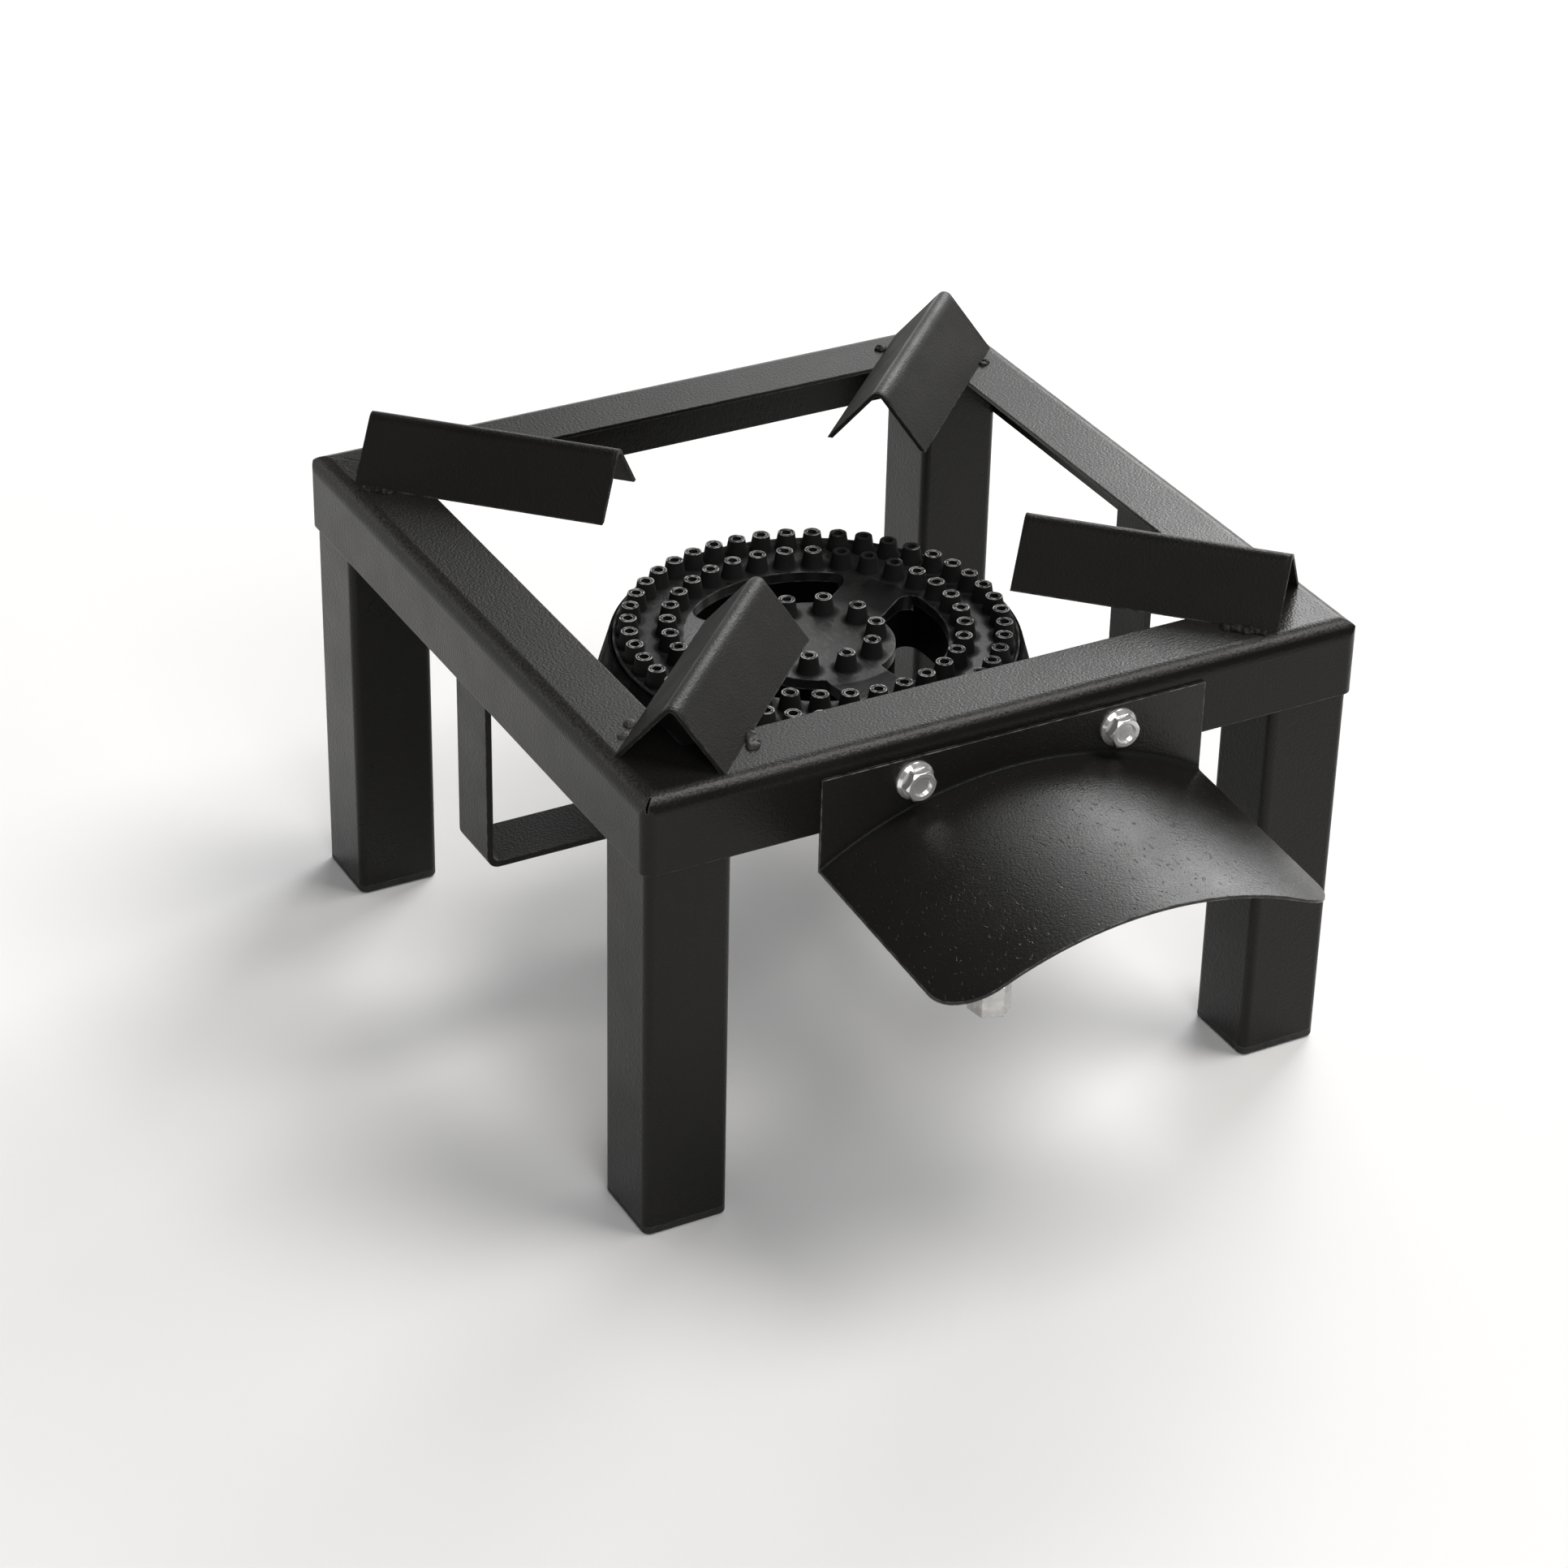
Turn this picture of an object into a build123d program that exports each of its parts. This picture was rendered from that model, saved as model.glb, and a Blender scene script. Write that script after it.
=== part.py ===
from build123d import *
import math
import os

os.makedirs("parts", exist_ok=True)

# Low gas stove on four legs. Millimetres, +Z up, front towards -Y.
# Heights are from the floor. Pieces are drawn about the burner axis and saved about the middle of the whole.

# Stand
FRAME_SIDE = 350.0
FRAME_TOP = 220.0
FIRST_CORNER_TURN = 225.0
SHEET = 2.0
FLANGE_WIDTH = 35.0
FLANGE_DROP = 36.0
BEND_INNER_R = 6.0
CORNER_INNER_R = 3.5
MITRE_LENGTH = 20.0
MITRE_WIDTH = 0.6
MITRE_DEPTH = 0.6
NOTCH_LENGTH = 4.5
NOTCH_WIDTH = 1.0
NOTCH_DEPTH = 6.0
LEG_SIDE = 40.0
LEG_WALL = 2.0
LEG_TOP_GAP = 1.0
LEG_CORNER_EXTRA = 0.3
CAP_FLANGE = 4.0
CAP_PLUG = 16.0
CAP_WALL = 2.5
CAP_EDGE_R = 1.5

# Pot supports
SUPPORT_LENGTH = 120.0
SUPPORT_SETBACK = 32.5
SUPPORT_SPAN = 48.0
SUPPORT_PEAK = 29.0
SUPPORT_SHEET = 2.0
SUPPORT_INNER_R = 2.0

# Burner strap
STRAP_WIDTH = 30.0
STRAP_THICK = 3.0
STRAP_DEPTH = 119.0
STRAP_TOP_GAP = 10.0
STRAP_INNER_R = 3.0

# Heat shield
SHIELD_SHEET = 1.5
SHIELD_WIDTH = 188.0
SHIELD_DROP = 10.0
CREASE_DROP = 26.6
CREASE_RISE = 27.0
CREASE_R = 1.2
VISOR_REACH = 115.0
VISOR_FALL = 7.6
VISOR_CORNER_R = 22.0

# Shield bolts and nuts
BOLT_R = 4.0
BOLT_FLATS = 13.0
BOLT_HEAD = 7.5
BOLT_FLANGE_R = 8.8
BOLT_FLANGE = 1.4
BOLT_CONE = 1.4
BOLT_CROWN = 1.2
BOLT_DISH_R = 4.4
BOLT_DISH = 1.2
BOLT_SPARE = 5.0
BOLT_SPACING = 100.0
BOLT_DROP = 20.5
NUT_HEIGHT = 7.5

# Burner foot bolts and head screws
FOOT_BOLT_R = 3.0
FOOT_BOLT_FLATS = 10.0
FOOT_BOLT_HEAD = 4.0
FOOT_BOLT_SPARE = 2.0
FOOT_NUT = 5.0
SCREW_R = 2.5
SCREW_HEAD_R = 4.6
SCREW_HEAD = 3.0
SCREW_EDGE_R = 1.0
SCREW_BITE = 3.0

# Clearances and fits
HOLE_PLAY = 0.25
RUNNING = 0.06
SEATED = 0.05
CAP_PLAY = 0.1
HEAD_PLAY = 0.5

# Burner head
BURNER_HEIGHT = 67.0
HEAD_PLATE = 5.0
HEAD_R = 93.1
LAND_INNER_R = 60.8
LIP_RISE = 1.1
LIP_TOP = 0.9
LIP_FOOT = 1.8
HUB_R = 36.5
HUB_FALL = 3.0
HUB_MARGIN = 5.0
SPOKE_COUNT = 3
SPOKE_TURN = 32.0
SPOKE_WIDTH = 29.0
OPENING_R = 6.0
JET_HEIGHT = 8.0
JET_BASE_R = 5.4
JET_TOP_R = 4.0
JET_BORE_R = 2.2
OUTER_ROW_R = 86.0
OUTER_JET_COUNT = 44
OUTER_ROW_TURN = 5.6
INNER_ROW_R = 68.0
INNER_JET_COUNT = 32
INNER_ROW_TURN = 6.7
HUB_ROW_R = 28.0
HUB_JET_COUNT = 10
HUB_ROW_TURN = 90.8

# Burner body
WALL = 5.0
RIM_EDGE = 1.4
RIM_FALL = 1.0
SKIRT_FLARE = 0.29
BELLY_RISE = 10.0
BELLY_TUCK = 8.0
RING_GAP = 1.0
DECK_RISE = 2.5
CHAMBER_R = 26.0
CHAMBER_FLARE = 10.0
SOCKET_WALL = 4.0
SOCKET_DEPTH = 20.0
PILLAR_WALL = 3.5
FOOT_THICK = 8.0
FOOT_WIDTH = 28.0
FOOT_BOLT_OUT = 9.0

# Mixing tube and air shutter
TUBE_R = 16.0
TUBE_WALL = 3.0
TUBE_LENGTH = 112.0
WINDOW_ARC = 70.0
WINDOW_LENGTH = 14.0
WINDOW_INSET = 10.0
SHUTTER_THICK = 1.2
SHUTTER_MARGIN = 4.0
SHUTTER_TAB_WIDTH = 8.0
SHUTTER_TAB_DROP = 9.0
SHUTTER_TAB = 2.0

# Gas tap
CARRIER_THICK = 7.0
NECK_R = 6.0
NECK_REACH = 12.0
NECK_CONE = 8.0
NECK_SHOULDER = 2.0
INJECTOR_FLATS = 9.0
INJECTOR_LENGTH = 9.0
INJECTOR_NOSE = 3.0
INJECTOR_TIP_R = 1.5
INJECTOR_BORE_R = 0.6
INJECTOR_FEED_R = 2.0
BARREL_WALL = 4.5
BARREL_BACK_WALL = 8.0
BARREL_CHAMFER = 2.0
GAS_BORE_R = 3.0
PLUG_R = 7.5
PLUG_TAPER = 1.5
PLUG_LENGTH = 22.0
PLUG_END_GAP = 1.0
STEM_R = 4.0
STEM_FLAT = 1.0
STEM_REACH = 21.0
SPRING_ROOM = 3.0
SPRING_SHEET = 1.0
GLAND_FLATS = 22.0
GLAND_THICK = 7.0
GLAND_SPIGOT = 3.0
KNOB_R = 11.5
KNOB_LENGTH = 14.0
KNOB_DRAFT = 1.0
KNOB_EDGE = 1.5
KNOB_SKIRT = 3.0
KNOB_SKIRT_EXTRA = 1.0
FLUTE_COUNT = 12
FLUTE_R = 1.6
KNOB_GAP = 2.0
POINTER_WIDTH = 2.0
POINTER_LENGTH = 6.0
POINTER_RISE = 0.8

# Gas inlet
INLET_PIPE_R = 6.0
INLET_BOSS_WALL = 2.5
INLET_BOSS_DROP = 23.0
INLET_SCREW_IN = 8.0
INLET_LENGTH = 35.0
INLET_NUT_FLATS = 17.0
INLET_NUT = 15.0
INLET_TURN = -20.0
INLET_THREAD_R = 5.7
INLET_THREAD_DEPTH = 11.0

# Places worked out from the sizes
HALF = FRAME_SIDE / 2
INSIDE = HALF - SHEET
CORNER = HALF * math.sqrt(2)
FRAME_LOW = FRAME_TOP - FLANGE_DROP
BEND_R = BEND_INNER_R + SHEET
CORNER_R = CORNER_INNER_R + SHEET
LEG_R = CORNER_INNER_R + LEG_CORNER_EXTRA
SHIELD_FACE = HALF + SHIELD_SHEET
STRAP_TOP = FRAME_TOP - STRAP_DEPTH
STRAP_LOW = STRAP_TOP - STRAP_THICK
LAND_Z = STRAP_TOP + BURNER_HEIGHT
LAND_UNDER = LAND_Z - HEAD_PLATE
HUB_Z = LAND_Z - HUB_FALL
HUB_UNDER = HUB_Z - HEAD_PLATE
TUBE_Z = STRAP_TOP + TUBE_R + SOCKET_WALL
RING_FLOOR = TUBE_Z + TUBE_R + RING_GAP
HEAD_SCREW_R = (OUTER_ROW_R + INNER_ROW_R) / 2
TUBE_BORE_R = TUBE_R - TUBE_WALL
TUBE_START = CHAMBER_R
TUBE_END = TUBE_START + TUBE_LENGTH
WINDOW_END = TUBE_END - WINDOW_INSET
WINDOW_START = WINDOW_END - WINDOW_LENGTH
NECK_TIP = TUBE_END - NECK_REACH
BARREL_R = PLUG_R + BARREL_WALL
BARREL_START = TUBE_END + NECK_CONE
SEAT_START = BARREL_START + BARREL_BACK_WALL
PLUG_END = SEAT_START + PLUG_LENGTH
BARREL_END = PLUG_END + SPRING_ROOM + GLAND_SPIGOT
PORT = (SEAT_START + PLUG_END) / 2
GLAND_END = BARREL_END + GLAND_THICK
STEM_END = BARREL_END + STEM_REACH
INLET_Z = TUBE_Z - INLET_BOSS_DROP
INLET_TOP = INLET_Z + INLET_SCREW_IN
INLET_LOW = INLET_Z - INLET_LENGTH
GAS_LINE = Plane(origin=(0, 0, TUBE_Z), x_dir=(1, 0, 0), z_dir=(0, -1, 0))
CORNER_NAMES = ("front_left", "front_right", "back_right", "back_left")
CORNERS = {name: FIRST_CORNER_TURN + 90 * i for i, name in enumerate(CORNER_NAMES)}


def polar(radius, angle, z=0.0):
    turn = math.radians(angle)
    return Pos(radius * math.cos(turn), radius * math.sin(turn), z)


def ring_of(count, radius, start, z=0.0):
    return [polar(radius, start + 360 / count * i, z) for i in range(count)]


def hexagon(flats):
    return RegularPolygon(flats / math.sqrt(3), 6)


def upright(sketch, low, high):
    """Prism of a plan sketch between two heights."""
    return extrude(Plane.XY.offset(low) * sketch, high - low)


def post(radius, low, high):
    return upright(Circle(radius), low, high)


def along(sketch, start, stop):
    """Prism of a sketch along the gas line, between two distances towards the front."""
    return extrude(GAS_LINE.offset(start) * sketch, stop - start)


def rod(radius, start, stop):
    return along(Circle(radius), start, stop)


def turned(points):
    """Body turned about the burner axis from a closed profile of radius and height."""
    return revolve(make_face(Polyline([(r, 0, z) for r, z in points], close=True)), Axis.Z)


def turned_on_line(points):
    """Body turned about the gas line from a closed profile of radius and distance."""
    face = make_face(Polyline([(r, -d, TUBE_Z) for r, d in points], close=True))
    return revolve(face, Axis((0, 0, TUBE_Z), (0, -1, 0)))


def save(shape, name):
    """Write a piece, moved so that the origin is on the floor in the middle of the overall length."""
    export_step(Pos(0, VISOR_REACH / 2, 0) * shape, f"parts/{name}.step")


def shield_bolt_places():
    return [Pos(x, 0, FRAME_TOP - BOLT_DROP) for x in (-BOLT_SPACING / 2, BOLT_SPACING / 2)]


def shield_bolt_holes():
    bore = Rot(90, 0, 0) * Cylinder(BOLT_R + HOLE_PLAY, 4 * FLANGE_WIDTH)
    return [place * Pos(0, -HALF, 0) * bore for place in shield_bolt_places()]


def foot_bolt_places():
    out = CHAMBER_R + FOOT_BOLT_OUT
    return [Pos(-out, 0, 0), Pos(out, 0, 0)]


def head_screw_places():
    return ring_of(SPOKE_COUNT, HEAD_SCREW_R, SPOKE_TURN + 180 / SPOKE_COUNT)


def bent_block(side, high, corner_r, bend_r):
    """Square block with upright corners of one radius, and its top edges bent over with another."""
    drop = high - FRAME_LOW
    section = Pos(0, FRAME_LOW + drop / 2) * Rectangle(side, drop)
    section = fillet(section.vertices().sort_by(Axis.Y)[2:], bend_r)
    bent = extrude(Plane.XZ * section, side / 2, both=True)
    return upright(RectangleRounded(side, side, corner_r), FRAME_LOW, high) & bent & Rot(0, 0, 90) * bent


def make_top_frame():
    """Angle mitred into a square: a flat top flange and an outer flange turned down, open at one corner."""
    window = FRAME_SIDE - 2 * FLANGE_WIDTH
    outer = bent_block(FRAME_SIDE, FRAME_TOP, CORNER_R, BEND_R)
    inner = bent_block(FRAME_SIDE - 2 * SHEET, FRAME_TOP - SHEET, CORNER_INNER_R, BEND_INNER_R)
    opening = upright(Rectangle(window, window), FRAME_LOW, FRAME_TOP)
    mitre = polar(CORNER - MITRE_LENGTH, CORNERS["back_left"], FRAME_TOP)
    mitre = mitre * Rot(0, 0, CORNERS["back_left"]) * Box(MITRE_LENGTH, MITRE_WIDTH, 2 * MITRE_DEPTH)
    edge = CORNER - CORNER_R * (math.sqrt(2) - 1)
    notch = polar(edge - NOTCH_LENGTH / 2, CORNERS["front_left"], FRAME_TOP)
    notch = notch * Rot(0, 0, CORNERS["front_left"]) * Box(NOTCH_LENGTH, NOTCH_WIDTH, 2 * NOTCH_DEPTH)
    return outer - [inner, opening, mitre, notch] - shield_bolt_holes()


def make_leg():
    """Square tube between its end cap and the inner bend of the frame."""
    bore = LEG_SIDE - 2 * LEG_WALL
    tube = RectangleRounded(LEG_SIDE, LEG_SIDE, LEG_R) - RectangleRounded(bore, bore, LEG_R - LEG_WALL)
    return upright(tube, CAP_FLANGE, FRAME_TOP - BEND_R - LEG_TOP_GAP)


def make_foot_cap():
    """Push-in end cap: a floor flange with a hollow plug inside the leg."""
    pad = upright(RectangleRounded(LEG_SIDE, LEG_SIDE, LEG_R), 0, CAP_FLANGE)
    pad = fillet(pad.faces().sort_by(Axis.Z)[0].edges(), CAP_EDGE_R)
    side = LEG_SIDE - 2 * LEG_WALL - 2 * CAP_PLAY
    hollow = side - 2 * CAP_WALL
    ring = RectangleRounded(side, side, LEG_R - LEG_WALL) - Rectangle(hollow, hollow)
    return pad + upright(ring, CAP_FLANGE, CAP_FLANGE + CAP_PLUG)


def gable(ridge_r):
    """Triangle twice as deep as a pot support, with its ridge rounded."""
    foot = (SUPPORT_SPAN, -SUPPORT_PEAK)
    face = make_face(Polyline((0, SUPPORT_PEAK), (-foot[0], foot[1]), foot, close=True))
    return fillet(face.vertices().sort_by(Axis.Y)[-1], ridge_r)


def make_pot_support():
    """Inverted V of bent sheet along +X, its feet trimmed flat on the frame."""
    lean = math.atan2(SUPPORT_SPAN / 2, SUPPORT_PEAK)
    depth = SUPPORT_SHEET / math.sin(lean)
    ground = Pos(0, -SUPPORT_PEAK) * Rectangle(4 * SUPPORT_SPAN, 2 * SUPPORT_PEAK)
    sheet = gable(SUPPORT_INNER_R + SUPPORT_SHEET) - Pos(0, -depth) * gable(SUPPORT_INNER_R)
    profile = sheet - ground
    start = CORNER - SUPPORT_SETBACK - SUPPORT_LENGTH
    plane = Plane(origin=(start, 0, FRAME_TOP), x_dir=(0, 1, 0), z_dir=(1, 0, 0))
    return extrude(plane * profile, SUPPORT_LENGTH)


def make_burner_strap():
    """Flat bar bent into a U, its arms against the insides of the side flanges."""
    high = FRAME_TOP - STRAP_TOP_GAP
    width = 2 * INSIDE
    outer = Pos(0, (STRAP_LOW + high) / 2) * Rectangle(width, high - STRAP_LOW)
    outer = fillet(outer.vertices().sort_by(Axis.Y)[:2], STRAP_INNER_R + STRAP_THICK)
    inner = Pos(0, (STRAP_TOP + high) / 2) * Rectangle(width - 2 * STRAP_THICK, high - STRAP_TOP)
    inner = fillet(inner.vertices().sort_by(Axis.Y)[:2], STRAP_INNER_R)
    strap = extrude(Plane.XZ * (outer - inner), STRAP_WIDTH / 2, both=True)
    drill = post(FOOT_BOLT_R + HOLE_PLAY, STRAP_LOW, STRAP_TOP)
    return strap - [place * drill for place in foot_bolt_places()]


def arched_band(half, apex, ends):
    """Section of the arched sheet: two equal arcs, one sheet apart."""
    low = ends - SHIELD_SHEET
    top_arc = ThreePointArc((-half, ends), (0, apex), (half, ends))
    low_arc = ThreePointArc((half, low), (0, apex - SHIELD_SHEET), (-half, low))
    return make_face([top_arc, Line((half, ends), (half, low)), low_arc, Line((-half, low), (-half, ends))])


def make_heat_shield():
    """Upright plate folded along an arched crease into a visor over the gas tap."""
    half = SHIELD_WIDTH / 2
    top = FRAME_TOP - SHIELD_DROP
    apex = FRAME_TOP - CREASE_DROP
    ends = apex - CREASE_RISE
    low = ends - SHIELD_SHEET
    wall = Plane(origin=(0, -HALF, 0), x_dir=(1, 0, 0), z_dir=(0, -1, 0))
    foot = ThreePointArc((-half, low), (0, apex - SHIELD_SHEET), (half, low))
    sides = Polyline((half, low), (half, top), (-half, top), (-half, low))
    plate = extrude(wall * make_face([foot, sides]), SHIELD_SHEET)
    root = wall.offset(SHIELD_SHEET) * arched_band(half, apex, ends)
    tip = wall.offset(VISOR_REACH) * arched_band(half, apex - VISOR_FALL, ends - VISOR_FALL)
    plan = Pos(0, -HALF - VISOR_REACH / 2) * Rectangle(SHIELD_WIDTH, VISOR_REACH)
    plan = fillet(plan.vertices().sort_by(Axis.Y)[:2], VISOR_CORNER_R)
    visor = loft([root, tip], ruled=True) & upright(plan, 0, FRAME_TOP)
    shield = plate + visor
    crease = shield.edges().filter_by(GeomType.CIRCLE).filter_by_position(Axis.Y, -SHIELD_FACE, -SHIELD_FACE)
    return fillet(crease.sort_by(Axis.Z)[-1], CREASE_R) - shield_bolt_holes()


def make_shield_bolt():
    """Flanged hex bolt with a dished head, its shank along +Y."""
    out = Plane(origin=(0, -SHIELD_FACE, 0), x_dir=(1, 0, 0), z_dir=(0, -1, 0))
    grip = SHIELD_SHEET + SHEET + NUT_HEIGHT + BOLT_SPARE
    flange = extrude(out * Circle(BOLT_FLANGE_R), BOLT_FLANGE)
    cone = extrude(out.offset(BOLT_FLANGE) * Circle(BOLT_FLANGE_R), BOLT_CONE, taper=45)
    crown = extrude(out * Circle(BOLT_FLATS / math.sqrt(3)), BOLT_HEAD)
    crown = chamfer(crown.edges().sort_by(Axis.Y)[0], BOLT_CROWN)
    head = extrude(out * hexagon(BOLT_FLATS), BOLT_HEAD) & crown
    dish = extrude(out.offset(BOLT_HEAD) * Circle(BOLT_DISH_R), -BOLT_DISH)
    return flange + cone + head + extrude(out * Circle(BOLT_R), -grip) - dish


def make_shield_nut():
    """Flanged hex nut on the inner face of the front flange."""
    back = Plane(origin=(0, -INSIDE, 0), x_dir=(1, 0, 0), z_dir=(0, 1, 0))
    nut = extrude(back * Circle(BOLT_FLANGE_R), BOLT_FLANGE) + extrude(back * hexagon(BOLT_FLATS), NUT_HEIGHT)
    return nut - extrude(back * Circle(BOLT_R + SEATED), NUT_HEIGHT)


def make_foot_bolt():
    """Hex bolt from below through the strap and the burner foot."""
    head = upright(hexagon(FOOT_BOLT_FLATS), STRAP_LOW - FOOT_BOLT_HEAD, STRAP_LOW)
    return head + post(FOOT_BOLT_R, STRAP_LOW, STRAP_TOP + FOOT_THICK + FOOT_NUT + FOOT_BOLT_SPARE)


def make_foot_nut():
    low = STRAP_TOP + FOOT_THICK
    return upright(hexagon(FOOT_BOLT_FLATS) - Circle(FOOT_BOLT_R + SEATED), low, low + FOOT_NUT)


def make_head_screw():
    """Round-headed screw from below, up a pillar of the ring into the burner head."""
    head = post(SCREW_HEAD_R, RING_FLOOR - SCREW_HEAD, RING_FLOOR)
    head = fillet(head.faces().sort_by(Axis.Z)[0].edges(), SCREW_EDGE_R)
    return head + post(SCREW_R, RING_FLOOR, LAND_UNDER + SCREW_BITE)


def air_openings(margin):
    """Plan of the kidney openings between the spokes, grown by a margin."""
    spoke = Pos(HEAD_R, 0) * Rectangle(2 * HEAD_R, SPOKE_WIDTH)
    spokes = [Rot(0, 0, SPOKE_TURN + 360 / SPOKE_COUNT * i) * spoke for i in range(SPOKE_COUNT)]
    kidneys = Circle(LAND_INNER_R) - Circle(HUB_R) - spokes
    outer_corners = kidneys.vertices().sort_by_distance((0, 0, 0))[2 * SPOKE_COUNT:]
    return offset(fillet(outer_corners, OPENING_R), margin)


def make_burner_head():
    """Cast top: a ring land and a sunk hub joined by ramped spokes, studded with tapered jets."""
    step_r = LAND_INNER_R - HEAD_PLAY
    head = turned([
        (0, HUB_UNDER),
        (step_r, HUB_UNDER),
        (step_r, LAND_UNDER),
        (HEAD_R, LAND_UNDER),
        (HEAD_R, LAND_Z + LIP_RISE),
        (HEAD_R - LIP_TOP, LAND_Z + LIP_RISE),
        (HEAD_R - LIP_FOOT, LAND_Z),
        (LAND_INNER_R, LAND_Z),
        (HUB_R + HUB_MARGIN, HUB_Z),
        (0, HUB_Z),
    ])
    head = head - upright(air_openings(0), HUB_UNDER, LAND_Z)
    places = ring_of(OUTER_JET_COUNT, OUTER_ROW_R, OUTER_ROW_TURN, LAND_Z)
    places += ring_of(INNER_JET_COUNT, INNER_ROW_R, INNER_ROW_TURN, LAND_Z)
    places += ring_of(HUB_JET_COUNT, HUB_ROW_R, HUB_ROW_TURN, HUB_Z)
    jet = Pos(0, 0, JET_HEIGHT / 2) * Cone(JET_BASE_R, JET_TOP_R, JET_HEIGHT)
    bore = post(JET_BORE_R, -HEAD_PLATE, JET_HEIGHT)
    tap = post(SCREW_R + SEATED, LAND_UNDER, LAND_UNDER + SCREW_BITE + SEATED)
    head = head + [place * jet for place in places]
    return head - [place * bore for place in places] - [place * tap for place in head_screw_places()]


def make_burner_body():
    """Cast gas chamber: a ring trough and a hub cup joined by hollow spokes, with a socket and a foot."""
    seat_r = HEAD_R + HEAD_PLAY
    rim_r = seat_r + RIM_EDGE
    rim_z = LAND_Z - RIM_FALL
    belly_z = RING_FLOOR + BELLY_RISE
    belly_r = rim_r + SKIRT_FLARE * (rim_z - belly_z)
    deck = RING_FLOOR + DECK_RISE
    body = turned([
        (0, STRAP_TOP),
        (CHAMBER_R, STRAP_TOP),
        (CHAMBER_R, deck - CHAMBER_FLARE),
        (HUB_R, deck),
        (LAND_INNER_R, deck),
        (LAND_INNER_R + WALL, RING_FLOOR),
        (belly_r - BELLY_TUCK, RING_FLOOR),
        (belly_r - BELLY_TUCK / 3, RING_FLOOR + BELLY_RISE / 4),
        (belly_r, belly_z),
        (rim_r, rim_z),
        (seat_r, rim_z),
        (seat_r, LAND_UNDER),
        (LAND_INNER_R, LAND_UNDER),
        (LAND_INNER_R, HUB_UNDER),
        (0, HUB_UNDER),
    ])
    cavity = turned([
        (0, STRAP_TOP + WALL),
        (CHAMBER_R - WALL, STRAP_TOP + WALL),
        (CHAMBER_R - WALL, deck - CHAMBER_FLARE),
        (HUB_R - WALL, deck + WALL),
        (LAND_INNER_R, deck + WALL),
        (LAND_INNER_R + WALL, RING_FLOOR + WALL),
        (belly_r - BELLY_TUCK - WALL, RING_FLOOR + WALL),
        (belly_r - WALL, belly_z),
        (seat_r - WALL, LAND_UNDER),
        (LAND_INNER_R + WALL, LAND_UNDER),
        (LAND_INNER_R + WALL, HUB_UNDER),
        (0, HUB_UNDER),
    ])
    cavity = cavity - upright(air_openings(WALL), STRAP_TOP, LAND_UNDER)
    pillar = post(SCREW_R + PILLAR_WALL, RING_FLOOR, LAND_UNDER)
    cavity = cavity - [place * pillar for place in head_screw_places()]
    socket_end = TUBE_START + SOCKET_DEPTH
    span = 2 * (CHAMBER_R + FOOT_BOLT_OUT)
    foot = upright(SlotCenterToCenter(span, FOOT_WIDTH), STRAP_TOP, STRAP_TOP + FOOT_THICK)
    body = body + foot + rod(TUBE_R + SOCKET_WALL, 0, socket_end)
    body = body - upright(air_openings(0), RING_FLOOR, LAND_UNDER)
    body = body - cavity - rod(TUBE_BORE_R, 0, TUBE_START) - rod(TUBE_R + SEATED, TUBE_START, socket_end)
    screw_hole = post(SCREW_R + HOLE_PLAY, RING_FLOOR, LAND_UNDER)
    body = body - [place * screw_hole for place in head_screw_places()]
    drill = post(FOOT_BOLT_R + HOLE_PLAY, STRAP_TOP, STRAP_TOP + FOOT_THICK)
    return body - [place * drill for place in foot_bolt_places()]


def air_windows():
    """Cutters for two opposite air windows through what is round the gas line."""
    far = 2 * TUBE_R
    rise = far * math.tan(math.radians(WINDOW_ARC / 2))
    bow_tie = make_face(Polyline((0, 0), (far, rise), (far, -rise), close=True))
    return [along(Rot(0, 0, turn) * bow_tie, WINDOW_START, WINDOW_END) for turn in (0, 180)]


def make_mixing_tube():
    """Mixing tube from the burner socket to its air windows."""
    return along(Circle(TUBE_R) - Circle(TUBE_BORE_R), TUBE_START, TUBE_END) - air_windows()


def make_air_shutter():
    """Sleeve that turns on the mixing tube to cover or clear the air windows, with a finger tab."""
    inner_r = TUBE_R + RUNNING
    outer_r = inner_r + SHUTTER_THICK
    start = WINDOW_START - SHUTTER_MARGIN
    end = WINDOW_END + SHUTTER_MARGIN
    tab = Rectangle(SHUTTER_TAB_WIDTH, SHUTTER_TAB_DROP + SHUTTER_THICK)
    tab = Pos(0, -outer_r - SHUTTER_TAB_DROP / 2) * tab
    sleeve = rod(outer_r, start, end) + along(tab, end - SHUTTER_TAB, end)
    return sleeve - rod(inner_r, start, end) - air_windows()


def make_tap_carrier():
    """Disc in the tube mouth that holds the tap by its neck."""
    return along(Circle(TUBE_BORE_R - SEATED) - Circle(NECK_R + SEATED), TUBE_END - CARRIER_THICK, TUBE_END)


def make_injector():
    """Gas jet on the tip of the tap neck, between the air windows."""
    start = NECK_TIP - INJECTOR_LENGTH
    tip = start - INJECTOR_NOSE
    nose = turned_on_line([(0, tip), (INJECTOR_TIP_R, tip), (INJECTOR_FLATS / 2, start), (0, start)])
    body = along(hexagon(INJECTOR_FLATS), start, NECK_TIP) + nose
    return body - rod(INJECTOR_BORE_R, tip, NECK_TIP) - rod(INJECTOR_FEED_R, start, NECK_TIP)


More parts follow.
